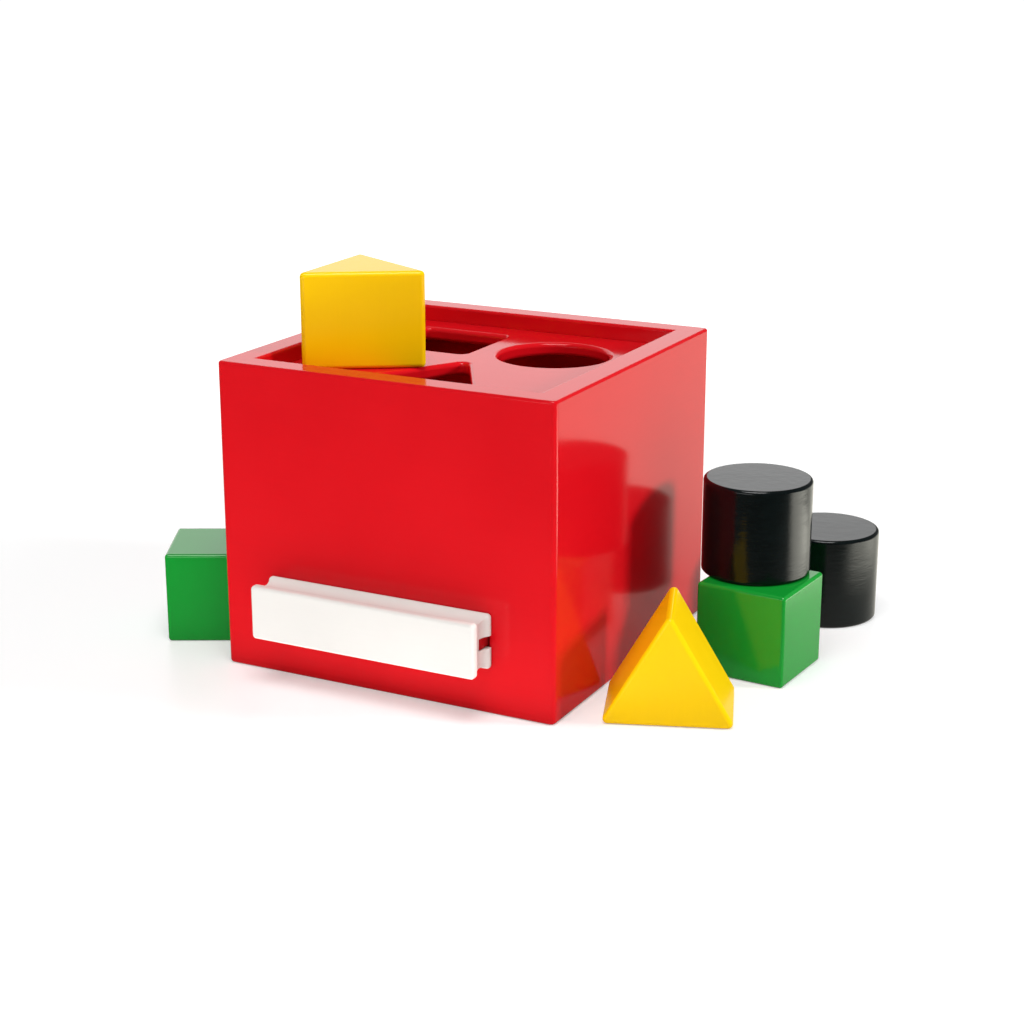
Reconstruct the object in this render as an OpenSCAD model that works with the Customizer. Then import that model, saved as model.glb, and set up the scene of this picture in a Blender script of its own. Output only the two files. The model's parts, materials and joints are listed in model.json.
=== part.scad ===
// Wooden shape sorter: an open-topped box with a recessed sorting panel, a floor that
// slides out by its front handle to let the blocks drop, and six loose blocks.

/* [Box] */
// Outside width of the box, left to right
box_w = 155; // [150:1:165]
// Outside depth of the box, front to back
box_d = 154; // [150:1:165]
// Height of the box
box_h = 132; // [125:1:145]
// Thickness of the four walls
wall_t = 12; // [11:0.5:13]
// Rounding of the box's upright edges
corner_round = 2.5; // [1:0.25:3]
// Rounding along the rim and along the foot of each wall
rim_round = 1.25; // [0.5:0.25:1.5]

/* [Sorting panel] */
// Depth of the panel's face below the rim
panel_recess = 7; // [5:0.5:12]
// Thickness of the panel
panel_t = 6; // [5:0.5:8]
// How far the panel is let into the walls
panel_let_in = 4; // [3:0.5:5]
// Gap between a block and its hole, all round
hole_gap = 1; // [0.5:0.25:1.5]

/* [Blocks] */
// Side of the cubes
cube_side = 40; // [36:0.5:42]
// Diameter of the cylinders
cylinder_d = 46; // [42:0.5:47]
// Side of a prism's triangular end, before its corners are rounded
prism_side = 54.5; // [50:0.5:56]
// Length of the cylinders and the prisms
block_len = 41; // [38:0.5:44]
// Rounding of the cubes' and the cylinders' edges
block_round = 1.5; // [0.5:0.25:2]
// Rounding of the prisms' edges
prism_round = 2; // [1:0.25:3]

/* [Sliding floor] */
// Width of the sliding board
board_w = 96; // [90:1:97]
// Thickness of the sliding board
board_t = 5; // [4:0.5:6]
// Height of the board's middle above the table
board_z = 31.5; // [30:0.5:36]
// How far the floor pulls out before its stop batten meets the front wall
floor_travel = 110; // [90:1:112]
// Gap round the board where it slides
slide_gap = 0.4; // [0.3:0.05:0.6]

/* [Handle] */
// Length of the handle
handle_len = 104; // [104:1:110]
// Height of the handle
handle_h = 23; // [20:0.5:26]
// Distance from the box's front to the handle's face
handle_reach = 16; // [14:0.5:20]
// Sideways offset of the handle from the box's middle
handle_shift = -2; // [-2:0.5:2]
// Depth of the finger cove round the handle
cove_depth = 2; // [1:0.25:2.5]

/* [Hidden] */
$fn = 64;
large_arc_steps = 96;

// Inside of the box, and the panel's slack in its groove
inside_w = box_w - 2 * wall_t;
inside_d = box_d - 2 * wall_t;
panel_top = box_h - panel_recess;
panel_seat_gap = 0.3;
panel_groove_extra = 0.2;

// Centre and corner rounding of each hole in the panel, measured from the box's middle
square_hole = [-29.5, 29.5];
round_hole = [27, 24.5];
triangle_hole = [0, -36.5];
square_hole_side = cube_side + 2 * hole_gap;
round_hole_d = cylinder_d + 2 * hole_gap;
triangle_hole_side = prism_side + 2 * sqrt(3) * hole_gap;
hole_corner_round = 3;

// Where each loose block stands: [x, y, turn], measured from the box's middle
prism_upright_at = [-39.5, -23.5, 32.5];
prism_lying_at = [110.5, -38, 20.5];
cube_left_at = [-107, -41.5, 27.5];
cube_right_at = [125.5, 22.5, -4];
cylinder_stacked_at = [120, 30.5];
cylinder_rear_at = [128.5, 100.5];

// Rails: their inner edges leave the drop opening between them
rail_lap = 4;
rail_half_gap = board_w / 2 - rail_lap;
rail_below = 9.5;
rail_above = 6.5;
rail_slope_rise = 12;
rail_bottom = board_z - rail_below;
rail_top_inner = board_z + rail_above;
rail_top_wall = rail_top_inner + rail_slope_rise;
rail_end_gap = 0.2;
rail_groove_gap = 0.6;
rail_groove_half = board_w / 2 + rail_groove_gap;

// Sliding board, from the handle's groove to just short of the back wall
handle_wall_gap = 0.4;
handle_back_y = -box_d / 2 - handle_wall_gap;
handle_front_y = -box_d / 2 - handle_reach;
handle_groove_depth = 7;
glue_gap = 0.1;
board_front_y = handle_back_y - handle_groove_depth + glue_gap;
board_back_gap = 0.5;
board_back_y = inside_d / 2 - board_back_gap;
board_corner_round = 3;
slot_side_gap = 0.8;

// Batten under the board, which meets the front wall's inside when the floor is out
batten_w = 10;
batten_h = 8;
batten_round = 1;
batten_stop_gap = 0.5;
batten_front_y = -inside_d / 2 + floor_travel + batten_stop_gap;
batten_side_gap = 1.5;

// Cove of the handle, measured back from its face
lip_t = 3.5;
cove_len = 10.5;
cove_r = (pow(cove_len / 2, 2) + pow(cove_depth, 2)) / (2 * cove_depth);
handle_face_round = 1.5;

// The set's own middle, which is the origin: halfway between its outermost pieces
cube_reach = (cube_side / 2 - block_round) * (cos(cube_left_at[2]) + sin(cube_left_at[2])) + block_round;
set_left = cube_left_at[0] - cube_reach;
set_right = cylinder_rear_at[0] + cylinder_d / 2;
set_back = cylinder_rear_at[1] + cylinder_d / 2;
set_mid = [(set_left + set_right) / 2, (handle_front_y + set_back) / 2];

// How far a cutting shape runs past the face it cuts
cutter = 1;
// How far a wall's mitred space runs past its faces
mitre_beyond = 5;
prism_inner_r = prism_side / (2 * sqrt(3));

red = [0.85, 0.08, 0.11];
dark_red = [0.70, 0.06, 0.09];
white = [0.95, 0.94, 0.92];
yellow = [0.99, 0.76, 0.08];
green = [0.09, 0.55, 0.20];
black = [0.05, 0.05, 0.05];

// ---- Outlines -------------------------------------------------------------------

// Rectangle centred on the origin with all four corners rounded
module rounded_rect(w, h, r) {
    square([w - 2 * r, h], center = true);
    square([w, h - 2 * r], center = true);
    for (sx = [-1, 1], sy = [-1, 1])
        translate([sx * (w / 2 - r), sy * (h / 2 - r)])
            circle(r = r);
}

// Equal-sided triangle on its centre, apex towards +Y, with rounded corners. Each tip is
// cut back to an arc a little over r, so that the arc crosses the sides and doesn't graze them.
module rounded_triangle(side, r) {
    vertex_at = side / sqrt(3);
    corner_angles = [90, 210, 330];
    difference() {
        polygon([for (a = corner_angles) vertex_at * [cos(a), sin(a)]]);
        for (a = corner_angles)
            rotate([0, 0, a])
                difference() {
                    translate([vertex_at - 1.5 * r, -3 * r])
                        square([3 * r, 6 * r]);
                    translate([vertex_at - 2 * r, 0])
                        circle(r = 1.01 * r);
                }
    }
}

// ---- Box ------------------------------------------------------------------------

// Moves a piece from the box's own middle to the set's origin
module from_box_middle() {
    translate([-set_mid[0], -set_mid[1], 0])
        children();
}

// Space of one wall between its two mitres; the wall stands at -Y, span wide at its face
module mitred_space(span, depth) {
    half = span / 2 + mitre_beyond;
    outer = -depth / 2 - mitre_beyond;
    inner = -depth / 2 + wall_t + mitre_beyond;
    linear_extrude(box_h)
        polygon([
            [-half, outer], [half, outer],
            [half - inner + outer, inner], [-half + inner - outer, inner]
        ]);
}

// One wall at -Y: its moulded section run along the side and cut to its mitres
module wall_at_front(span, depth, column_w, column_d) {
    intersection() {
        translate([0, -depth / 2 + wall_t / 2, box_h / 2])
            rotate([90, 0, 90])
                linear_extrude(span, center = true)
                    rounded_rect(wall_t, box_h, rim_round);
        mitred_space(span, depth);
        linear_extrude(box_h)
            rounded_rect(column_w, column_d, corner_round);
    }
}

// Groove that all four walls share for the edge of the sorting panel
module panel_groove() {
    groove = [inside_w + 2 * panel_let_in, inside_d + 2 * panel_let_in, panel_t + panel_groove_extra];
    translate([0, 0, panel_top - panel_t / 2])
        cube(groove, center = true);
}

module slot_in_front() {
    translate([0, -box_d / 2 + wall_t / 2, board_z])
        cube([board_w + 2 * slot_side_gap, wall_t + 2 * cutter, board_t + 2 * slide_gap], center = true);
}

module front_wall() {
    color(red)
        from_box_middle()
            difference() {
                wall_at_front(box_w, box_d, box_w, box_d);
                panel_groove();
                slot_in_front();
            }
}

module back_wall() {
    color(red)
        from_box_middle()
            difference() {
                rotate([0, 0, 180])
                    wall_at_front(box_w, box_d, box_w, box_d);
                panel_groove();
            }
}

module left_wall() {
    color(red)
        from_box_middle()
            difference() {
                rotate([0, 0, -90])
                    wall_at_front(box_d, box_w, box_d, box_w);
                panel_groove();
            }
}

module right_wall() {
    color(red)
        from_box_middle()
            difference() {
                rotate([0, 0, 90])
                    wall_at_front(box_d, box_w, box_d, box_w);
                panel_groove();
            }
}

// Panel let into the walls, with one hole for each kind of block
module sorting_panel() {
    let_in = panel_let_in - panel_seat_gap;
    color(red)
        from_box_middle()
            translate([0, 0, panel_top - panel_t])
                difference() {
                    linear_extrude(panel_t)
                        square([inside_w + 2 * let_in, inside_d + 2 * let_in], center = true);
                    translate([square_hole[0], square_hole[1], -cutter])
                        linear_extrude(panel_t + 2 * cutter)
                            rounded_rect(square_hole_side, square_hole_side, hole_corner_round);
                    translate([round_hole[0], round_hole[1], -cutter])
                        cylinder(d = round_hole_d, h = panel_t + 2 * cutter);
                    translate([triangle_hole[0], triangle_hole[1], -cutter])
                        linear_extrude(panel_t + 2 * cutter)
                            rounded_triangle(triangle_hole_side, hole_corner_round);
                }
}

// Section of a rail, seen from the front: sloped on top so that blocks slide off it
module rail_section() {
    difference() {
        polygon([
            [rail_half_gap, rail_bottom], [inside_w / 2, rail_bottom],
            [inside_w / 2, rail_top_wall], [rail_half_gap, rail_top_inner]
        ]);
        translate([rail_half_gap - cutter, board_z - board_t / 2 - slide_gap])
            square([rail_groove_half - rail_half_gap + cutter, board_t + 2 * slide_gap]);
    }
}

module rail(side) {
    rail_len = inside_d - 2 * rail_end_gap;
    color(dark_red)
        from_box_middle()
            mirror([side < 0 ? 1 : 0, 0, 0])
                translate([0, rail_len / 2, 0])
                    rotate([90, 0, 0])
                        linear_extrude(rail_len)
                            rail_section();
}

module left_rail() {
    rail(-1);
}

module right_rail() {
    rail(1);
}

// ---- Sliding floor ----------------------------------------------------------------

// Board that closes the box from below; its front edge is glued into the handle
module sliding_floor() {
    board_len = board_back_y - board_front_y;
    color(dark_red)
        from_box_middle()
            translate([0, board_front_y + board_len / 2, board_z - board_t / 2])
                linear_extrude(board_t)
                    rounded_rect(board_w, board_len, board_corner_round);
}

module stop_batten() {
    batten_len = 2 * (rail_half_gap - batten_side_gap);
    color(dark_red)
        from_box_middle()
            translate([0, batten_front_y + batten_w / 2, board_z - board_t / 2 - batten_h / 2])
                rotate([90, 0, 90])
                    linear_extrude(batten_len, center = true)
                        rounded_rect(batten_w, batten_h, batten_round);
}

// Outline of the handle in the plane of its depth: full at the face and the back,
// hollowed between them; width runs along Y here and depth back from the face along X
module handle_outline(width) {
    depth = handle_reach - handle_wall_gap;
    difference() {
        union() {
            translate([depth / 2, 0])
                rounded_rect(depth, width, handle_face_round);
            translate([depth / 2, -width / 2])
                square([depth / 2, width]);
        }
        for (side = [-1, 1])
            translate([lip_t + cove_len / 2, side * (width / 2 + cove_r - cove_depth)])
                circle(r = cove_r, $fn = large_arc_steps);
    }
}

// Pull bar with a finger cove routed round all four edges and a groove in its back
module floor_handle() {
    groove = [handle_len + 2 * cutter, 2 * handle_groove_depth, board_t + 2 * glue_gap];
    color(white)
        from_box_middle()
            translate([handle_shift, handle_front_y, board_z])
                difference() {
                    intersection() {
                        rotate([90, 0, 90])
                            linear_extrude(handle_len, center = true)
                                handle_outline(handle_h);
                        linear_extrude(handle_h, center = true)
                            rotate([0, 0, 90])
                                handle_outline(handle_len);
                    }
                    translate([0, handle_reach - handle_wall_gap, 0])
                        cube(groove, center = true);
                }
}

// ---- Blocks -----------------------------------------------------------------------

// Cube on its middle: three rounded bars crossed, so that every edge is rounded
module cube_block() {
    intersection_for (turn = [[0, 0, 0], [90, 0, 0], [0, 90, 0]])
        rotate(turn)
            linear_extrude(cube_side, center = true)
                rounded_rect(cube_side, cube_side, block_round);
}

// Cylinder standing on the origin with its two end edges rounded
module cylinder_block() {
    rotate_extrude($fn = large_arc_steps)
        intersection() {
            translate([0, block_len / 2])
                rounded_rect(cylinder_d, block_len, block_round);
            square([cylinder_d, block_len]);
        }
}

// Prism standing on the origin on one triangular end, apex of the triangle towards +Y.
// Each rounded bar holds one of its three sides and rounds that side's two end edges.
module prism_block() {
    bar_w = 3 * prism_side;
    intersection() {
        linear_extrude(block_len)
            rounded_triangle(prism_side, prism_round);
        for_each_side()
            translate([0, bar_w / 2 - prism_inner_r, block_len / 2])
                rotate([90, 0, 90])
                    linear_extrude(2 * prism_side, center = true)
                        rounded_rect(bar_w, block_len, prism_round);
    }
}

// The part common to a child turned to face each of the triangle's three sides
module for_each_side() {
    intersection_for (turn = [0, 120, 240])
        rotate([0, 0, turn])
            children();
}

module yellow_prism_upright() {
    color(yellow)
        from_box_middle()
            translate([prism_upright_at[0], prism_upright_at[1], panel_top])
                rotate([0, 0, prism_upright_at[2]])
                    prism_block();
}

module yellow_prism_lying() {
    color(yellow)
        from_box_middle()
            translate([prism_lying_at[0], prism_lying_at[1], prism_inner_r])
                rotate([90, 0, prism_lying_at[2]])
                    translate([0, 0, -block_len / 2])
                        prism_block();
}

module green_cube(at) {
    color(green)
        from_box_middle()
            translate([at[0], at[1], cube_side / 2])
                rotate([0, 0, at[2]])
                    cube_block();
}

module green_cube_left() {
    green_cube(cube_left_at);
}

module green_cube_right() {
    green_cube(cube_right_at);
}

module black_cylinder_stacked() {
    color(black)
        from_box_middle()
            translate([cylinder_stacked_at[0], cylinder_stacked_at[1], cube_side])
                cylinder_block();
}

module black_cylinder_rear() {
    color(black)
        from_box_middle()
            translate([cylinder_rear_at[0], cylinder_rear_at[1], 0])
                cylinder_block();
}

front_wall();
back_wall();
left_wall();
right_wall();
sorting_panel();
left_rail();
right_rail();
sliding_floor();
stop_batten();
floor_handle();
yellow_prism_upright();
yellow_prism_lying();
green_cube_left();
green_cube_right();
black_cylinder_stacked();
black_cylinder_rear();
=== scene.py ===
"""Looks of the wooden shape sorter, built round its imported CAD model. Metres, +Z up."""

import json
import math

import bpy
from mathutils import Matrix, Vector
from mathutils.geometry import tessellate_polygon


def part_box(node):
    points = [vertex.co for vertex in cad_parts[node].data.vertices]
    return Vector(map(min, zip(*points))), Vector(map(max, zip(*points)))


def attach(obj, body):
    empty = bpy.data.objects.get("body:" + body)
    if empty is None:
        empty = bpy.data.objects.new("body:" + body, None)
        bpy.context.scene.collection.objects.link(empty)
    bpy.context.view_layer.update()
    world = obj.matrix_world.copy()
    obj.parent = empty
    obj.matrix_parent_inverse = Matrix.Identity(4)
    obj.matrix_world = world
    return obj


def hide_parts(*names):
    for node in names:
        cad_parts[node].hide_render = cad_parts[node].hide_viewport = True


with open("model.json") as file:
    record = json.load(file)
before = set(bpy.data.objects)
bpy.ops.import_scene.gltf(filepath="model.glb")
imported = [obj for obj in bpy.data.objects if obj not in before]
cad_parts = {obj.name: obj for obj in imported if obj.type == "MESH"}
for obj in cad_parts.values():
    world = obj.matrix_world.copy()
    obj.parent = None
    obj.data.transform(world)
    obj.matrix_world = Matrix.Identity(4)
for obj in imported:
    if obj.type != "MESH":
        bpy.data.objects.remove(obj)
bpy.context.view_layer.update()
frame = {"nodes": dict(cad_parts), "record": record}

MM = 0.001
UP = Vector((0, 0, 1))
QUARTER = math.pi / 2

# The box, measured on its walls
FRONT_LO, FRONT_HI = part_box("front_wall")
BACK_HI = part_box("back_wall")[1]
LEFT_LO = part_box("left_wall")[0]
RIGHT_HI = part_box("right_wall")[1]
BOX_W = RIGHT_HI.x - LEFT_LO.x
BOX_D = BACK_HI.y - FRONT_LO.y
BOX_H = FRONT_HI.z
WALL_T = FRONT_HI.y - FRONT_LO.y
BOX_MID = Vector(((LEFT_LO.x + RIGHT_HI.x) / 2, (FRONT_LO.y + BACK_HI.y) / 2, 0))
CORNER_ROUND = 2.5 * MM
RIM_ROUND = 1.25 * MM
FOOT_ROUND = 1.6 * MM

# The sorting panel and the groove that the walls hold it in
PANEL_LO, PANEL_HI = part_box("sorting_panel")
PANEL_GAP = 0.1 * MM
GROOVE_DEPTH = 4 * MM
HOLE_CORNER = 3 * MM
HOLE_EDGE = 2 * MM
OPENING_GAP = 0.4 * MM  # from the triangular hole's base to its box in the record

# The sliding board, the slot it passes through and the grooves it runs in
BOARD_LO, BOARD_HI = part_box("sliding_floor")
BOARD_Z = (BOARD_LO.z + BOARD_HI.z) / 2
BOARD_T = BOARD_HI.z - BOARD_LO.z
BOARD_CORNER = 3 * MM
SLOT_SIDE_GAP = 0.8 * MM
RUNNING_GAP = 0.4 * MM
SLOT_W = BOARD_HI.x - BOARD_LO.x + 2 * SLOT_SIDE_GAP
SLOT_H = BOARD_T + 2 * RUNNING_GAP
SLOT_EDGE = 0.4 * MM
SLOT_CORNER = 0.6 * MM
RAIL_SLOPE = 12 * MM
RAIL_GROOVE = 4.6 * MM
BATTEN_CORNER = 1 * MM
BOARD_EDGE = 0.5 * MM

# The handle: its lip, the cove round its sides, its rounded edges and the notch in its back
HANDLE_LO, HANDLE_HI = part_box("floor_handle")
HANDLE_CORNER = 1.6 * MM
LIP_T = 3.5 * MM
COVE_LEN = 10.5 * MM
COVE_DEPTH = 2 * MM
FACE_ROUND = 1.5 * MM
CREASE_ROUND = 0.45 * MM
BACK_ROUND = 0.3 * MM
NOTCH_DEEP = 7 * MM
NOTCH_HALF = BOARD_T / 2 + 0.1 * MM

# The blocks: how far each is turned, in degrees, then their sizes
UPRIGHT_TURN = 32.5
LYING_TURN = 20.5
LEFT_CUBE_TURN = 27.5
RIGHT_CUBE_TURN = -4
PRISM_SIDE = 54.5 * MM
CUBE_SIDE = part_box("green_cube_left")[1].z
CYLINDER_LO, CYLINDER_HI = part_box("black_cylinder_rear")
CYLINDER_RADIUS = (CYLINDER_HI.x - CYLINDER_LO.x) / 2
BLOCK_LEN = CYLINDER_HI.z
BLOCK_GAP = 1 * MM
CUBE_ROUND = 1.5 * MM
CYLINDER_ROUND = 1.5 * MM
PRISM_ROUND = 2 * MM

# Points that agree to this many steps a metre are one, and NEAR is one such step
POINT_STEPS = 1e7
NEAR = 1 / POINT_STEPS
STRAIGHT = 0.01  # radians: a corner that turns less isn't one


# ---- Surfaces built corner by corner --------------------------------------------------


class Skin:
    """A closed surface gathered face by face. Each corner of a face is (point, normal)."""

    def __init__(self, place=None):
        self.place = place or Matrix.Identity(4)
        self.faces = []

    def face(self, corners):
        turn = self.place.to_3x3()
        self.faces.append([(self.place @ p, (turn @ n).normalized()) for p, n in corners])

    def strip(self, first, second, closed=True, skip=None):
        """Quads between two rows of corners, all the way round if they are rings."""
        count = len(first)
        for i in range(count if closed else count - 1):
            j = (i + 1) % count
            quad = [first[i], first[j], second[j], second[i]]
            if skip is None or not skip([p for p, _ in quad]):
                self.face(quad)

    def flat(self, normal, *outlines):
        """A flat face inside the first outline, with the others as its holes."""
        points = [p for outline in outlines for p in outline]
        for corner_ids in tessellate_polygon(outlines):
            self.face([(points[i], normal) for i in corner_ids])

    def whole(self, normal, outline):
        """A flat face with no holes."""
        self.face([(p, normal) for p in outline])

    def mesh(self, name):
        """Joins equal points, drops what has no area, and turns each face to its normals."""
        ids, points, faces, normals = {}, [], [], []
        for corners in self.faces:
            kept = []
            for p, n in corners:
                key = tuple(round(v * POINT_STEPS) for v in p)
                if key not in ids:
                    ids[key] = len(points)
                    points.append(p)
                if all(ids[key] != i for i, _ in kept):
                    kept.append((ids[key], n))
            if len(kept) < 3:
                continue
            area = newell([points[i] for i, _ in kept])
            if area.dot(sum((n for _, n in kept), Vector())) < 0:
                kept.reverse()
            faces.append([i for i, _ in kept])
            normals += [n for _, n in kept]
        made = bpy.data.meshes.new(name)
        made.from_pydata(points, [], faces)
        made.normals_split_custom_set(normals)
        return made


def newell(points):
    """Area vector of a polygon."""
    total = Vector()
    for a, b in zip(points, points[1:] + points[:1]):
        total += a.cross(b)
    return total


def piece(skin, node, body, paint):
    """The skin as an object that stands for a CAD node."""
    made = bpy.data.objects.new(node + "_painted", skin.mesh(node + "_painted"))
    made.data.materials.append(paint)
    bpy.context.scene.collection.objects.link(made)
    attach(made, body)
    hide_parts(node)
    return made


def polygon_outline(corners, radius, inset=0.0, steps=10):
    """A convex outline with rounded corners, moved in by inset: (x, y, normal x, normal y).

    A corner that the outline passes straight through stays a single point."""
    made = []
    points = [Vector(c) for c in corners]
    for before, at, after in zip(points[-1:] + points[:-1], points, points[1:] + points[:1]):
        n1 = edge_normal(before, at)
        n2 = edge_normal(at, after)
        centre = at - (n1 + n2) * (max(radius, inset) / (1 + n1.dot(n2)))
        reach = max(radius - inset, 0)
        turn = n1.angle_signed(n2)
        count = steps if abs(turn) > STRAIGHT else 0
        for k in range(count + 1):
            n = n1.copy()
            n.rotate(Matrix.Rotation(-turn * k / steps, 2))
            p = centre + n * reach
            made.append((p.x, p.y, n.x, n.y))
    return made


def edge_normal(a, b):
    """Outward normal of an anticlockwise outline's edge."""
    d = (b - a).normalized()
    return Vector((d.y, -d.x))


def circle_outline(radius, inset=0.0, steps=144):
    """A circle's outline, moved in by inset."""
    made = []
    reach = radius - inset
    for k in range(steps):
        a = 2 * math.pi * k / steps
        made.append((reach * math.cos(a), reach * math.sin(a), math.cos(a), math.sin(a)))
    return made


def rectangle(width, depth, middle=(0, 0)):
    """Corners of a rectangle, anticlockwise."""
    x0, y0 = middle[0] - width / 2, middle[1] - depth / 2
    x1, y1 = middle[0] + width / 2, middle[1] + depth / 2
    return [(x0, y0), (x1, y0), (x1, y1), (x0, y1)]


def triangle(side):
    """Corners of an equal-sided triangle on its centre, apex towards +Y."""
    reach = side / math.sqrt(3)
    return [(reach * math.cos(a), reach * math.sin(a)) for a in (math.pi / 6 * k for k in (3, 7, 11))]


def level(outline, z, tilt):
    """An outline's corners at height z, their normals tilted up by the angle tilt."""
    c, s = math.cos(tilt), math.sin(tilt)
    return [(Vector((x, y, z)), Vector((nx * c, ny * c, s))) for x, y, nx, ny in outline]


def rounded_ends(z0, z1, edge, steps):
    """Both rounded edges from z0 up to z1: (height, inset, tilt of the normal) by turns."""
    tilts = [QUARTER * k / steps for k in range(steps + 1)]
    insets = [edge * (1 - math.cos(t)) for t in tilts]
    reaches = [edge * (1 - math.sin(t)) for t in tilts]
    low = [(z0 + reach, inset, -t) for t, inset, reach in zip(tilts, insets, reaches)]
    high = [(z1 - reach, inset, t) for t, inset, reach in zip(tilts, insets, reaches)]
    return low[::-1] + high


def bar(skin, outline, z0, z1, edge, steps=6):
    """An upright bar with both end edges rounded. outline(inset) gives its section."""
    rings = [level(outline(inset), z, tilt) for z, inset, tilt in rounded_ends(z0, z1, edge, steps)]
    for a, b in zip(rings, rings[1:]):
        skin.strip(a, b)
    skin.whole(-UP, [p for p, _ in rings[0]])
    skin.whole(UP, [p for p, _ in rings[-1]])


def hole(skin, outline, z0, z1, edge, steps=6):
    """A hole through a plate with both edges rounded. Returns its outline in each face."""
    rings = []
    for z, inset, tilt in rounded_ends(z0, z1, edge, steps):
        ring = level(outline(-inset), z, tilt)
        rings.append([(p, Vector((-n.x, -n.y, n.z))) for p, n in ring])
    for a, b in zip(rings, rings[1:]):
        skin.strip(a, b)
    return [p for p, _ in rings[0]], [p for p, _ in rings[-1]]


def volume_middle(node):
    """Centre of volume of a CAD node."""
    data = frame["nodes"][node].data
    data.calc_loop_triangles()
    volume, total = 0.0, Vector()
    for tri in data.loop_triangles:
        a, b, c = (data.vertices[i].co for i in tri.vertices)
        part = a.dot(b.cross(c))
        volume += part
        total += part * (a + b + c) / 4
    return total / volume


# ---- Paints ---------------------------------------------------------------------------

# Lumps to the metre: clouds of tone, specks of dust, orange peel, slow waves, and across
# the grain its fine lines and its wider bands
CLOUDS = 17
SPECKS = 900
PEEL = 420
WAVES = 62
GRAIN_LINES = 1100
GRAIN_BANDS = 210
BAND_STRETCH = 0.22  # lumps of the bands for each of the lines', down the grain

# Heights of the surface's unevenness, in metres
WAVE_HEIGHT = 22e-6
PEEL_HEIGHT = 3.5e-6
LINE_HEIGHT = 16e-6
BAND_HEIGHT = 30e-6

# How much darker and paler the paint gets, and how much its gloss varies
DARKER = 0.93
PALER = 1.05
PALE_LIFT = 0.002
LINE_DARKER = 0.09
LINE_PALER = 0.05
SPECK_GLOSS = 0.02
CLOUD_GLOSS = 0.03


def add(tree, kind, inputs=None, **settings):
    """A shader node, with values or other nodes' outputs on its inputs."""
    made = tree.nodes.new(kind)
    for key, value in settings.items():
        setattr(made, key, value)
    for key, value in (inputs or {}).items():
        if isinstance(value, bpy.types.NodeSocket):
            tree.links.new(value, made.inputs[key])
        else:
            made.inputs[key].default_value = value
    return made


def noise(tree, where, scale, detail=3.0, roughness=0.5):
    """Noise from 0 to 1 whose lumps are about 1 / scale metres across."""
    inputs = {"Vector": where, "Scale": scale, "Detail": detail, "Roughness": roughness}
    return add(tree, "ShaderNodeTexNoise", inputs).outputs["Fac"]


def spread(tree, value, low, high):
    """The middle of a noise's range, from 0.3 to 0.7, spread from low to high."""
    inputs = {"Value": value, "From Min": 0.3, "From Max": 0.7, "To Min": low, "To Max": high}
    return add(tree, "ShaderNodeMapRange", inputs).outputs["Result"]


def smooth(tree, value, start, end, low, high):
    """A value from start to end, eased from low to high."""
    inputs = {"Value": value, "From Min": start, "From Max": end, "To Min": low, "To Max": high}
    return add(tree, "ShaderNodeMapRange", inputs, interpolation_type="SMOOTHSTEP").outputs["Result"]


def stretched(tree, where, along, fine, coarse):
    """Coordinates for grain: coarse down the axis or axes named along, and fine across."""
    scale = [coarse if axis in along else fine for axis in "xyz"]
    return add(tree, "ShaderNodeMapping", {"Vector": where, "Scale": scale}).outputs["Vector"]


def lacquer(name, colour, rough, coat, coat_rough, grain, grain_axis,
            peel=1.0, ior=1.3, streak=45 * MM):
    """Painted wood. Its grain shows through the paint, which has a fine orange peel and lies
    a little thinner and paler in places.

    rough is the paint's own roughness; coat and coat_rough are the clear coat's strength and
    roughness. grain and peel scale how uneven it is, and streak is a grain line's length."""
    paint = bpy.data.materials.new(name)
    paint.use_nodes = True
    tree = paint.node_tree
    tree.nodes.clear()
    where = add(tree, "ShaderNodeTexCoord").outputs["Object"]

    clouds = noise(tree, where, CLOUDS, detail=2)
    specks = noise(tree, where, SPECKS, detail=2)
    line_space = stretched(tree, where, grain_axis, GRAIN_LINES, 1 / streak)
    band_space = stretched(tree, where, grain_axis, GRAIN_BANDS, BAND_STRETCH / streak)
    lines = noise(tree, line_space, 1, detail=4, roughness=0.6)
    bands = noise(tree, band_space, 1, detail=3)

    dark = [c * DARKER for c in colour] + [1]
    pale = [min(c * PALER + PALE_LIFT, 1) for c in colour] + [1]
    tones = {"Factor": spread(tree, clouds, 0.25, 0.75), "A": dark, "B": pale}
    tone = add(tree, "ShaderNodeMix", tones, data_type="RGBA")
    depth = spread(tree, lines, 1 - LINE_DARKER * grain, 1 + LINE_PALER * grain)
    toned = add(tree, "ShaderNodeVectorMath", {0: tone.outputs["Result"]}, operation="SCALE")
    tree.links.new(depth, toned.inputs["Scale"])

    layers = [
        (noise(tree, where, WAVES, detail=1), WAVE_HEIGHT * peel),
        (noise(tree, where, PEEL, detail=1.5), PEEL_HEIGHT * peel),
        (lines, LINE_HEIGHT * grain),
        (bands, BAND_HEIGHT * grain),
    ]
    inputs = {"Strength": 1.0}
    for height, distance in layers:
        inputs.update({"Height": height, "Distance": distance})
        bump = add(tree, "ShaderNodeBump", inputs)
        inputs = {"Normal": bump.outputs["Normal"]}

    dust = spread(tree, specks, -SPECK_GLOSS, SPECK_GLOSS)
    gloss = spread(tree, clouds, rough - CLOUD_GLOSS, rough + CLOUD_GLOSS)
    sheen = add(tree, "ShaderNodeMath", {0: dust, 1: gloss}, operation="ADD")
    body = add(tree, "ShaderNodeBsdfPrincipled", {
        "Base Color": toned.outputs["Vector"],
        "Roughness": sheen.outputs["Value"],
        "Normal": bump.outputs["Normal"],
        "IOR": ior,
        "Specular IOR Level": 0.0,
        "Coat Weight": coat,
        "Coat Roughness": coat_rough,
        "Coat IOR": ior,
        "Coat Normal": bump.outputs["Normal"],
    })
    out = add(tree, "ShaderNodeOutputMaterial")
    tree.links.new(body.outputs["BSDF"], out.inputs["Surface"])
    return paint


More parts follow.
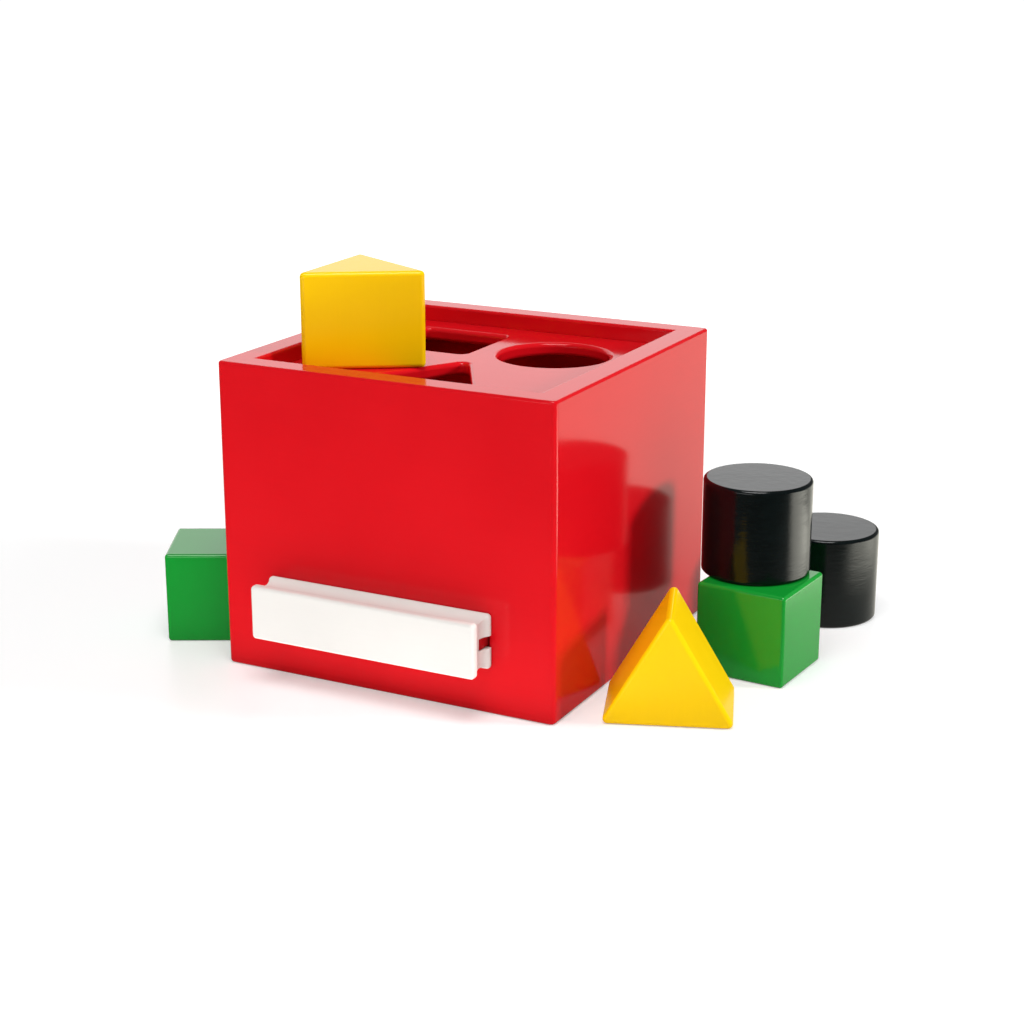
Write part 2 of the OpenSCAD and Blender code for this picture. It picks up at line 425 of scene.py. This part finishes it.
# Colours, linear
RED = (0.64, 0.0038, 0.0090)
# Painted shade: a darker copy of the red, for the rails, sliding board and batten in the box's shaded
# inside
RED_SHADED = (0.42, 0.006, 0.010)
WHITE = (0.74, 0.725, 0.69)
YELLOW = (0.96, 0.60, 0.001)
GREEN = (0.004, 0.29, 0.027)
BLACK = (0.001, 0.0035, 0.0038)

# Name, colour, roughness, coat, its roughness, grain and the axis that the grain runs along
red_along_x = lacquer("red_lacquer_x", RED, 0.30, 1.0, 0.11, 0.12, "x", peel=0.4)
red_along_y = lacquer("red_lacquer_y", RED, 0.30, 1.0, 0.11, 0.12, "y", peel=0.4)
# The pieces inside the box get that darker red as painted shade; their satin finish is the paint's own
red_shaded_x = lacquer("red_shaded_x", RED_SHADED, 0.38, 0.6, 0.25, 0.5, "x")
red_shaded_y = lacquer("red_shaded_y", RED_SHADED, 0.38, 0.6, 0.25, 0.5, "y")
white = lacquer("white_lacquer", WHITE, 0.42, 0.6, 0.22, 0.08, "x", peel=0.6)
yellow = lacquer("yellow_lacquer", YELLOW, 0.38, 0.7, 0.14, 0.08, "z", peel=0.6, ior=1.36)
green = lacquer("green_lacquer", GREEN, 0.36, 1.0, 0.08, 0.1, "z", peel=0.5, ior=1.43)
black = lacquer("black_lacquer", BLACK, 0.30, 1.0, 0.15, 4.5, "xy", ior=1.35, streak=5 * MM)


# ---- Box ------------------------------------------------------------------------------


def wall_section():
    """Section of a wall: stretches of corners (depth from the outside, height, normal)."""
    top, bottom, deep = BOX_H, 0.0, WALL_T
    groove_top, groove_bottom = PANEL_HI.z + PANEL_GAP, PANEL_LO.z - PANEL_GAP
    groove_deep = deep - GROOVE_DEPTH
    return {
        "outside": line((0, bottom + FOOT_ROUND), (0, top - RIM_ROUND), (-1, 0)),
        "outer_rim": arc((RIM_ROUND, top - RIM_ROUND), RIM_ROUND, 180, 90),
        "rim": line((RIM_ROUND, top), (deep - RIM_ROUND, top), (0, 1)),
        "inner_rim": arc((deep - RIM_ROUND, top - RIM_ROUND), RIM_ROUND, 90, 0),
        "above_panel": line((deep, top - RIM_ROUND), (deep, groove_top), (1, 0)),
        "groove_roof": line((deep, groove_top), (groove_deep, groove_top), (0, -1)),
        "groove_back": line((groove_deep, groove_top), (groove_deep, groove_bottom), (1, 0)),
        "groove_ledge": line((groove_deep, groove_bottom), (deep, groove_bottom), (0, 1)),
        "inside": line((deep, groove_bottom), (deep, bottom + FOOT_ROUND), (1, 0)),
        "inner_foot": arc((deep - FOOT_ROUND, bottom + FOOT_ROUND), FOOT_ROUND, 0, -90),
        "foot": line((deep - FOOT_ROUND, bottom), (FOOT_ROUND, bottom), (0, -1)),
        "outer_foot": arc((FOOT_ROUND, bottom + FOOT_ROUND), FOOT_ROUND, -90, -180),
    }


def line(a, b, normal):
    """A straight stretch of a section."""
    return [(*a, *normal), (*b, *normal)]


def arc(centre, radius, start, end, steps=6):
    """A round stretch of a section, between two angles in degrees."""
    made = []
    x, y = centre
    for k in range(steps + 1):
        a = math.radians(start + (end - start) * k / steps)
        c, s = math.cos(a), math.sin(a)
        made.append((x + radius * c, y + radius * s, c, s))
    return made


def along_wall(half, depth, z, nd, nz, steps=8):
    """Corners along a wall at one point of its section, from its left mitre to its right.

    Outside, the run ends in half of the box's rounded edge; inside, it ends at the mitre."""
    right = []
    for k in range(steps + 1):
        share = k / steps
        if depth < CORNER_ROUND:
            a = math.pi / 4 * (1 + share)
            reach = CORNER_ROUND - depth
            x = half - CORNER_ROUND + reach * math.cos(a)
            point = Vector((x, CORNER_ROUND - reach * math.sin(a), z))
            normal = Vector((-nd * math.cos(a), nd * math.sin(a), nz))
        else:
            point = Vector((half - depth - CORNER_ROUND * share, depth, z))
            normal = Vector((0, nd, nz))
        right.append((point, normal))
    left = [(Vector((-p.x, p.y, p.z)), Vector((-n.x, n.y, n.z))) for p, n in right]
    return left + right[::-1]


def wall(turn, span, depth, slotted=False):
    """A wall of the box, mitred at both ends, where it meets its neighbours with no gap."""
    place = Matrix.Translation(BOX_MID) @ Matrix.Rotation(math.radians(turn), 4, "Z")
    skin = Skin(place @ Matrix.Translation((0, -depth / 2, 0)))
    ends = []
    for name, stretch in wall_section().items():
        rows = [along_wall(span / 2, *corner) for corner in stretch]
        cut = slotted and name in ("outside", "inside")
        middle = len(rows[0]) // 2
        for a, b in zip(rows, rows[1:]):
            if cut:
                skin.strip(a[:middle], b[:middle], closed=False)
                skin.strip(a[middle:], b[middle:], closed=False)
            else:
                skin.strip(a, b, closed=False)
        if cut:
            a, b = rows[0], rows[-1]
            outline = [a[middle - 1][0], a[middle][0], b[middle][0], b[middle - 1][0]]
            cut_slot_face(skin, outline, name == "outside")
        ends += [(row[0][0], row[-1][0]) for row in rows[:-1]]
    if slotted:
        slot_tunnel(skin)
    skin.flat(Vector((-1, 1, 0)).normalized(), [left for left, _ in ends])
    skin.flat(Vector((1, 1, 0)).normalized(), [right for _, right in ends])
    return skin


def slot_rings():
    """Rings of the slot's rounded edges, in the wall's own frame: depth runs along +Y."""
    shape = rectangle(SLOT_W, SLOT_H, (BOARD_LO.x / 2 + BOARD_HI.x / 2 - BOX_MID.x, BOARD_Z))
    made = []
    for depth, flare, tilt in rounded_ends(0, WALL_T, SLOT_EDGE, steps=4):
        ring = polygon_outline(shape, SLOT_CORNER, -flare, steps=4)
        c, s = math.cos(tilt), math.sin(tilt)
        made.append([(Vector((x, depth, z)), Vector((-nx * c, s, -nz * c))) for x, z, nx, nz in ring])
    return made


def cut_slot_face(skin, outline, outside):
    """The flat middle of the wall's outside or inside, with the slot's mouth in it."""
    ring = slot_rings()[0 if outside else -1]
    skin.flat(Vector((0, -1 if outside else 1, 0)), outline, [p for p, _ in ring])


def slot_tunnel(skin):
    """The slot's four sides, through the wall."""
    rings = slot_rings()
    for a, b in zip(rings, rings[1:]):
        skin.strip(a, b)


def opening_box(name):
    """Low and high corners of one of the record's openings."""
    found = next(o for o in frame["record"]["physics"]["openings"] if o["name"] == name)
    low, high = found["box_m"]
    return Vector(low), Vector(high)


def opening_middle(name):
    """Middle of one of the record's openings."""
    low, high = opening_box(name)
    return (low + high) / 2


def sorting_panel():
    """The panel with its three holes, whose edges are well rounded."""
    skin = Skin()
    z0, z1 = PANEL_LO.z, PANEL_HI.z
    middle = (PANEL_LO + PANEL_HI) / 2
    width, depth = PANEL_HI.x - PANEL_LO.x, PANEL_HI.y - PANEL_LO.y
    outer = rectangle(width, depth, middle.xy)

    square = opening_middle("square_hole")
    round_one = opening_middle("round_hole_middle")
    prism_hole_side = PRISM_SIDE + 2 * math.sqrt(3) * BLOCK_GAP
    base_y = opening_box("triangle_hole_wide")[0].y - OPENING_GAP
    prism_hole_y = base_y + prism_hole_side / (2 * math.sqrt(3))
    prism_hole = Vector((opening_middle("triangle_hole_wide").x, prism_hole_y))
    side = CUBE_SIDE + 2 * BLOCK_GAP

    def shifted(outline, to):
        return [(x + to.x, y + to.y, nx, ny) for x, y, nx, ny in outline]

    shapes = [
        lambda inset: polygon_outline(rectangle(side, side, square.xy), HOLE_CORNER, inset),
        lambda inset: shifted(circle_outline(CYLINDER_RADIUS + BLOCK_GAP, inset), round_one),
        lambda inset: shifted(
            polygon_outline(triangle(prism_hole_side), HOLE_CORNER, inset), prism_hole),
    ]
    mouths = [hole(skin, shape, z0, z1, HOLE_EDGE) for shape in shapes]
    low = [Vector((x, y, z0)) for x, y in outer]
    high = [Vector((x, y, z1)) for x, y in outer]
    skin.flat(-UP, low, *[m[0] for m in mouths])
    skin.flat(UP, high, *[m[1] for m in mouths])
    for i in range(4):
        j = (i + 1) % 4
        normal = newell([low[i], low[j], high[j], high[i]]).normalized()
        skin.whole(normal, [low[i], low[j], high[j], high[i]])
    return skin


piece(wall(0, BOX_W, BOX_D, slotted=True), "front_wall", "box", red_along_x)
piece(wall(180, BOX_W, BOX_D), "back_wall", "box", red_along_x)
piece(wall(-90, BOX_D, BOX_W), "left_wall", "box", red_along_y)
piece(wall(90, BOX_D, BOX_W), "right_wall", "box", red_along_y)
piece(sorting_panel(), "sorting_panel", "box", red_along_x)


# ---- Rails, sliding floor and handle --------------------------------------------------


def rail(node):
    """A grooved batten whose sloped top lets blocks slide off it."""
    low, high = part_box(node)
    on_left = low.x < BOX_MID.x
    wall_x, free_x = (low.x, high.x) if on_left else (high.x, low.x)
    out = 1 if on_left else -1
    half_slot = BOARD_T / 2 + RUNNING_GAP
    groove_x = free_x - out * RAIL_GROOVE
    section = [
        (wall_x, low.z), (free_x, low.z),
        (free_x, BOARD_Z - half_slot), (groove_x, BOARD_Z - half_slot),
        (groove_x, BOARD_Z + half_slot), (free_x, BOARD_Z + half_slot),
        (free_x, high.z - RAIL_SLOPE), (wall_x, high.z),
    ]
    skin = Skin()
    front = [Vector((x, low.y, z)) for x, z in section]
    back = [Vector((x, high.y, z)) for x, z in section]
    for i in range(len(section)):
        j = (i + 1) % len(section)
        normal = newell([front[i], front[j], back[j], back[i]]).normalized() * -out
        skin.whole(normal, [front[i], front[j], back[j], back[i]])
    skin.flat(Vector((0, -1, 0)), front)
    skin.flat(Vector((0, 1, 0)), back)
    return skin


def board():
    """The sliding floor."""
    skin = Skin()
    middle = (BOARD_LO + BOARD_HI) / 2
    shape = rectangle(BOARD_HI.x - BOARD_LO.x, BOARD_HI.y - BOARD_LO.y, middle.xy)
    outline = lambda inset: polygon_outline(shape, BOARD_CORNER, inset)
    bar(skin, outline, BOARD_LO.z, BOARD_HI.z, BOARD_EDGE)
    return skin


def batten():
    """The stop under the board's rear end, built upright and laid along X."""
    low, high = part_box("stop_batten")
    middle = (low + high) / 2
    skin = Skin(Matrix.Translation(middle) @ Matrix.Rotation(QUARTER, 4, "Y"))
    shape = rectangle(high.z - low.z, high.y - low.y)
    half = (high.x - low.x) / 2
    bar(skin, lambda inset: polygon_outline(shape, BATTEN_CORNER, inset), -half, half, BOARD_EDGE)
    return skin


def cove(depth):
    """How far the handle's side is hollowed at a depth behind its face."""
    radius = ((COVE_LEN / 2) ** 2 + COVE_DEPTH ** 2) / (2 * COVE_DEPTH)
    off = depth - LIP_T - COVE_LEN / 2
    if abs(off) >= COVE_LEN / 2:
        return 0.0
    return math.sqrt(radius ** 2 - off ** 2) - (radius - COVE_DEPTH)


def eased_cove(depth, samples=9):
    """The cove with its two creases softened, by averaging over a short stretch."""
    spots = [depth + CREASE_ROUND * (2 * k / (samples - 1) - 1) for k in range(samples)]
    return sum(cove(s) for s in spots) / samples


def handle_profile():
    """The handle's side from its face to its back: (depth, inset, tilt of the normal)."""
    total = HANDLE_HI.y - HANDLE_LO.y
    steps = 6
    row_gap = 0.4 * MM
    small = 0.01 * MM
    rows = []
    for k in range(steps + 1):
        t = QUARTER * (1 - k / steps)
        rows.append((FACE_ROUND * (1 - math.sin(t)), FACE_ROUND * (1 - math.cos(t)), -t))
    notch_at = total - NOTCH_DEEP
    cove_from = LIP_T - CREASE_ROUND
    cove_to = LIP_T + COVE_LEN + CREASE_ROUND
    stops = [FACE_ROUND, cove_from, notch_at, cove_to, total - BACK_ROUND]
    for start, end in zip(stops, stops[1:]):
        count = max(1, round((end - start) / row_gap))
        for k in range(1, count + 1):
            depth = start + (end - start) * k / count
            slope = (eased_cove(depth + small) - eased_cove(depth - small)) / (2 * small)
            rows.append((depth, eased_cove(depth), math.atan(slope)))
    for k in range(1, steps + 1):
        t = QUARTER * k / steps
        rows.append((total - BACK_ROUND * (1 - math.sin(t)), BACK_ROUND * (1 - math.cos(t)), t))
    return rows, notch_at


def handle():
    """The pull bar: a lip, a finger cove round all four sides, and a notch for the board."""
    width, height = HANDLE_HI.x - HANDLE_LO.x, HANDLE_HI.z - HANDLE_LO.z
    middle_x = (HANDLE_LO.x + HANDLE_HI.x) / 2
    skin = Skin(Matrix.Translation((middle_x, HANDLE_LO.y, BOARD_Z)))
    half_w, half_h = width / 2, height / 2
    corners = [
        (half_w, NOTCH_HALF), (half_w, half_h), (-half_w, half_h), (-half_w, NOTCH_HALF),
        (-half_w, -NOTCH_HALF), (-half_w, -half_h), (half_w, -half_h), (half_w, -NOTCH_HALF),
    ]
    rows, notch_at = handle_profile()
    rings = []
    for depth, inset, tilt in rows:
        outline = polygon_outline(corners, HANDLE_CORNER, inset, steps=8)
        c, s = math.cos(tilt), math.sin(tilt)
        rings.append([(Vector((x, depth, z)), Vector((nx * c, s, nz * c))) for x, z, nx, nz in outline])

    def in_notch(points):
        behind = all(p.y >= notch_at - NEAR for p in points)
        return behind and all(abs(p.z) <= NOTCH_HALF + NEAR for p in points)

    for a, b in zip(rings, rings[1:]):
        skin.strip(a, b, skip=in_notch)
    skin.whole(Vector((0, -1, 0)), [p for p, _ in rings[0]])
    back = [p for p, _ in rings[-1]]
    skin.whole(Vector((0, 1, 0)), [p for p in back if p.z > NOTCH_HALF - NEAR])
    skin.whole(Vector((0, 1, 0)), [p for p in back if p.z < -NOTCH_HALF + NEAR])
    behind = [ring for ring in rings if ring[0][0].y >= notch_at - NEAR]
    for side in (1, -1):
        right = [notch_point(ring, 1, side) for ring in behind]
        left = [notch_point(ring, -1, side) for ring in behind]
        skin.whole(Vector((0, 0, -side)), right + left[::-1])
    first = behind[0]
    floor = [notch_point(first, sx, sz) for sx, sz in ((1, 1), (-1, 1), (-1, -1), (1, -1))]
    skin.whole(Vector((0, 1, 0)), floor)
    return skin


def notch_point(ring, side_x, side_z):
    """The ring's point on the notch's edge, right or left and above or below."""
    level_with = [p for p, _ in ring if abs(p.z - side_z * NOTCH_HALF) < NEAR]
    return next(p for p in level_with if p.x * side_x > 0)


piece(rail("left_rail"), "left_rail", "box", red_shaded_y)
piece(rail("right_rail"), "right_rail", "box", red_shaded_y)
piece(board(), "sliding_floor", "floor", red_shaded_y)
piece(batten(), "stop_batten", "floor", red_shaded_x)
piece(handle(), "floor_handle", "floor", white)


# ---- Blocks ---------------------------------------------------------------------------


def turned(node, turn):
    """Middle of a block, turned about the vertical."""
    return Matrix.Translation(volume_middle(node)) @ Matrix.Rotation(math.radians(turn), 4, "Z")


def cube_block(node, turn):
    """A cube, standing."""
    skin = Skin(turned(node, turn))
    shape = rectangle(CUBE_SIDE, CUBE_SIDE)
    outline = lambda inset: polygon_outline(shape, CUBE_ROUND, inset, steps=8)
    bar(skin, outline, -CUBE_SIDE / 2, CUBE_SIDE / 2, CUBE_ROUND, steps=8)
    return skin


def cylinder_block(node):
    """A cylinder, standing."""
    skin = Skin(turned(node, 0))
    outline = lambda inset: circle_outline(CYLINDER_RADIUS, inset)
    bar(skin, outline, -BLOCK_LEN / 2, BLOCK_LEN / 2, CYLINDER_ROUND, steps=8)
    return skin


def prism_block(node, turn, lying=False):
    """A triangular prism, standing on an end or lying on a side."""
    place = turned(node, turn)
    if lying:
        place = place @ Matrix.Rotation(QUARTER, 4, "X")
    skin = Skin(place)
    shape = triangle(PRISM_SIDE)
    outline = lambda inset: polygon_outline(shape, PRISM_ROUND, inset, steps=12)
    bar(skin, outline, -BLOCK_LEN / 2, BLOCK_LEN / 2, PRISM_ROUND, steps=8)
    return skin


upright = prism_block("yellow_prism_upright", UPRIGHT_TURN)
lying = prism_block("yellow_prism_lying", LYING_TURN, lying=True)
left_cube = cube_block("green_cube_left", LEFT_CUBE_TURN)
right_cube = cube_block("green_cube_right", RIGHT_CUBE_TURN)
stacked = cylinder_block("black_cylinder_stacked")
rear = cylinder_block("black_cylinder_rear")
piece(upright, "yellow_prism_upright", "upright_prism", yellow)
piece(lying, "yellow_prism_lying", "lying_prism", yellow)
piece(left_cube, "green_cube_left", "left_cube", green)
piece(right_cube, "green_cube_right", "right_cube", green)
piece(stacked, "black_cylinder_stacked", "stacked_cylinder", black)
piece(rear, "black_cylinder_rear", "rear_cylinder", black)


# ---- Studio ---------------------------------------------------------------------------

# The floor, as far as the camera sees it: distances are from the set's middle, in metres
FLOOR_REACH = 1.7
FLOOR_FADES = (0.7, 1.6)
PAPER = (0.93, 0.93, 0.93, 1)
PAPER_ROUGH = 0.36
PAPER_IOR = 1.45
GLOW = 1.4
GLOW_NEAR = 0.25  # share of glow close to the set, which grows to all of it
GLOW_GROWS = (0.22, 0.6)

# Painted light: the floor glows in the object's gloss, with a brightness in front, one behind and one
# in a patch to the right
PAINTED_GLOW_TINT = (1, 0.98, 0.86, 1)
PAINTED_GLOW_FRONT = 0.10
PAINTED_GLOW_BACK = 1.4
PAINTED_GLOW_RIGHT = 4.4
PAINTED_GLOW_SLOPE = (-0.15, 0.30)
PATCH_STARTS = (0.17, 0.27)
PATCH_Y = 0.11
PATCH_ENDS = (0.05, 0.12)
MIRROR_NEAR = 0.75  # share of that brightness close to the set
MIRROR_GROWS = (0.13, 0.24)

# The white all round, to the camera and as a light
WORLD_SEEN = 1.05
WORLD_FILL = 0.16

# The camera looks at AIM, and its place is given as a light's is
AIM = Vector((-0.8, 6.4, 52.4)) * MM
CAMERA_AZIMUTH = 27.22
CAMERA_ELEVATION = 16.95
CAMERA_DISTANCE = 0.9
LENS = 71.25
SENSOR = 36

# A light that lies on the floor in front of the box and faces up
LOW_LIGHT_AIM = Vector((-0.02, -0.20, 0.012))


def direction(azimuth, elevation):
    """From the set towards a place: azimuth 0 is in front and 90 to the right, in degrees."""
    a, e = math.radians(azimuth), math.radians(elevation)
    return Vector((math.sin(a) * math.cos(e), -math.cos(a) * math.cos(e), math.sin(e)))


def look_from(obj, spot, aim):
    """Puts a light or a camera at a spot, facing an aim."""
    obj.location = spot
    obj.rotation_mode = "QUATERNION"
    obj.rotation_quaternion = (aim - spot).to_track_quat("-Z", "Y")


def softbox(name, azimuth, elevation, distance, width, height, radiance, aim):
    """A soft light of a given brightness, which the camera doesn't see. It faces the aim."""
    data = bpy.data.lights.new(name, "AREA")
    data.shape = "RECTANGLE"
    data.size, data.size_y = width, height
    data.energy = radiance * math.pi * width * height
    made = bpy.data.objects.new(name, data)
    bpy.context.scene.collection.objects.link(made)
    made.visible_camera = False
    look_from(made, aim + direction(azimuth, elevation) * distance, aim)
    return made


def studio_floor():
    """A pale table that fades into the white background."""
    data = bpy.data.meshes.new("studio_floor")
    corners = [(x, y, 0) for x, y in rectangle(2 * FLOOR_REACH, 2 * FLOOR_REACH)]
    data.from_pydata(corners, [], [(0, 1, 2, 3)])
    made = bpy.data.objects.new("studio_floor", data)
    bpy.context.scene.collection.objects.link(made)
    data.materials.append(floor_material())
    return made


def floor_material():
    """White paper that turns into a white glow away from the set. Gloss on the object sees mostly
    painted light on it instead: a glow, dim in front and bright behind as a table lit from the back
    would be, and brightest in a patch to the right."""
    surface = bpy.data.materials.new("studio_floor")
    surface.use_nodes = True
    tree = surface.node_tree
    tree.nodes.clear()
    path = add(tree, "ShaderNodeLightPath")
    away = add(tree, "ShaderNodeTexCoord").outputs["Object"]
    distance = add(tree, "ShaderNodeVectorMath", {0: away}, operation="LENGTH").outputs["Value"]

    # What the camera sees
    paper_inputs = {"Base Color": PAPER, "Roughness": PAPER_ROUGH, "IOR": PAPER_IOR}
    paper = add(tree, "ShaderNodeBsdfPrincipled", paper_inputs)
    glow = add(tree, "ShaderNodeEmission", {"Color": (1, 1, 1, 1), "Strength": GLOW})
    white_share = smooth(tree, distance, *GLOW_GROWS, GLOW_NEAR, 1)
    seen = mixed_for(tree, path.outputs["Is Camera Ray"], white_share, paper, glow)

    # What gloss on the object sees: painted light, a glowing slope of brightness and a bright patch to
    # the right
    spot = add(tree, "ShaderNodeSeparateXYZ", {0: away})
    slope = smooth(tree, spot.outputs["Y"], *PAINTED_GLOW_SLOPE, PAINTED_GLOW_FRONT, PAINTED_GLOW_BACK)
    patch = smooth(tree, spot.outputs["X"], *PATCH_STARTS, 0, PAINTED_GLOW_RIGHT)
    off = add(tree, "ShaderNodeMath", {0: spot.outputs["Y"], 1: -PATCH_Y}, operation="ADD")
    off = add(tree, "ShaderNodeMath", {0: off.outputs[0]}, operation="ABSOLUTE")
    band = smooth(tree, off.outputs[0], *PATCH_ENDS, 1, 0)
    bright_inputs = {0: patch, 1: band, 2: slope}
    bright = add(tree, "ShaderNodeMath", bright_inputs, operation="MULTIPLY_ADD")
    painted_glow_inputs = {"Color": PAINTED_GLOW_TINT, "Strength": bright.outputs[0]}
    painted_glow = add(tree, "ShaderNodeEmission", painted_glow_inputs)
    far = smooth(tree, distance, *MIRROR_GROWS, MIRROR_NEAR, 1)
    mixed = mixed_for(tree, path.outputs["Is Glossy Ray"], far, seen, painted_glow)

    clear = add(tree, "ShaderNodeBsdfTransparent")
    faded = smooth(tree, distance, *FLOOR_FADES, 0, 1)
    both = add(tree, "ShaderNodeMixShader", {0: faded, 1: mixed.outputs[0], 2: clear.outputs[0]})
    out = add(tree, "ShaderNodeOutputMaterial")
    tree.links.new(both.outputs[0], out.inputs["Surface"])
    return surface


def mixed_for(tree, ray, amount, usual, special):
    """The usual shader, with the given amount of the special one for one kind of ray."""
    share = add(tree, "ShaderNodeMath", {0: ray, 1: amount}, operation="MULTIPLY")
    inputs = {0: share.outputs[0], 1: usual.outputs[0], 2: special.outputs[0]}
    return add(tree, "ShaderNodeMixShader", inputs)


def studio_world():
    """White all round to the camera, and dimmer as a light."""
    world = bpy.data.worlds.new("studio")
    world.use_nodes = True
    tree = world.node_tree
    tree.nodes.clear()
    seen = add(tree, "ShaderNodeBackground", {"Color": (1, 1, 1, 1), "Strength": WORLD_SEEN})
    fill = add(tree, "ShaderNodeBackground", {"Color": (1, 1, 1, 1), "Strength": WORLD_FILL})
    is_camera = add(tree, "ShaderNodeLightPath").outputs["Is Camera Ray"]
    both = add(tree, "ShaderNodeMixShader", {0: is_camera, 1: fill.outputs[0], 2: seen.outputs[0]})
    out = add(tree, "ShaderNodeOutputWorld")
    tree.links.new(both.outputs[0], out.inputs["Surface"])
    bpy.context.scene.world = world


studio_floor()
studio_world()
# Name, azimuth, elevation, distance, width, height, radiance and aim
softbox("light_back_left", 218, 18, 2.2, 2.2, 1.5, 1.1, AIM)
softbox("light_top", 20, 71, 1.5, 0.8, 0.8, 8.1, AIM)
softbox("light_front", -4, 5, 1.1, 0.7, 0.5, 2.9, AIM)
unmirrored = [
    softbox("light_right", 106, 20, 1.3, 0.22, 0.22, 70, AIM),
    softbox("light_low", 0, -90, 0.01, 0.5, 0.20, 1.0, LOW_LIGHT_AIM),
]
for light in unmirrored:
    light.visible_glossy = False

camera_data = bpy.data.cameras.new("camera")
camera_data.sensor_width = SENSOR
camera_data.lens = LENS
camera = bpy.data.objects.new("camera", camera_data)
bpy.context.scene.collection.objects.link(camera)
look_from(camera, AIM + direction(CAMERA_AZIMUTH, CAMERA_ELEVATION) * CAMERA_DISTANCE, AIM)
bpy.context.scene.camera = camera
bpy.context.scene.view_settings.view_transform = "Standard"
